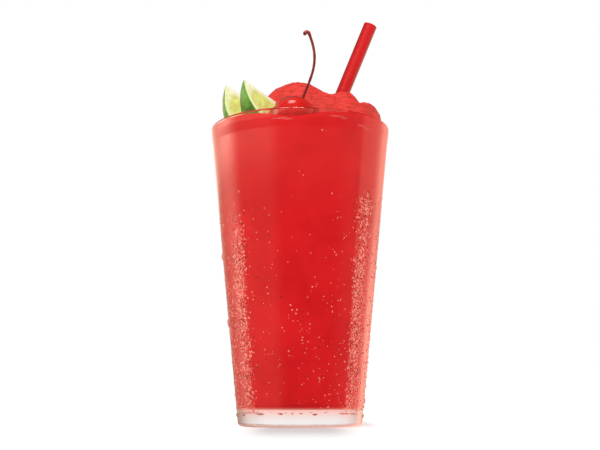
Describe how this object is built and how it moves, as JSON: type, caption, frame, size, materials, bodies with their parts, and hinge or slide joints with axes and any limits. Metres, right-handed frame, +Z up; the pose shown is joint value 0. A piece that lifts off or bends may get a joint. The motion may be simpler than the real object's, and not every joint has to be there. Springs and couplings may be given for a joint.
{
  "type": "frozen slush drink in a pint tumbler with a straw, a cherry and lime wedges",
  "caption": "Cherry-red slush mounded over the rim of a clear pint tumbler, with lime wedges, a stemmed cherry and a leaning red straw.",
  "frame": {"origin": "centre of the glass's foot, on the surface it stands on", "axes": "+Z up along the glass; +X towards the side the straw leans to; +Y away from the side that the cherry is on"},
  "size_m": [0.0912, 0.0912, 0.2079],
  "materials": {
    "clear_glass": "clear, polished, with condensation outside",
    "cherry_slush": "frozen red slush, wet",
    "red_straw": "smooth, slightly see-through",
    "cherry_skin": "glossy syruped skin",
    "cherry_stalk": "satin",
    "lime": "waxy green rind, pale pith, moist flesh"
  },
  "bodies": {
    "root": {"glass": "clear_glass", "slush": "cherry_slush", "straw": "red_straw", "cherry": "cherry_skin", "cherry_stem": "cherry_stalk", "lime_wedge_left": "lime", "lime_wedge_right": "lime"}
  },
  "joints": []
}
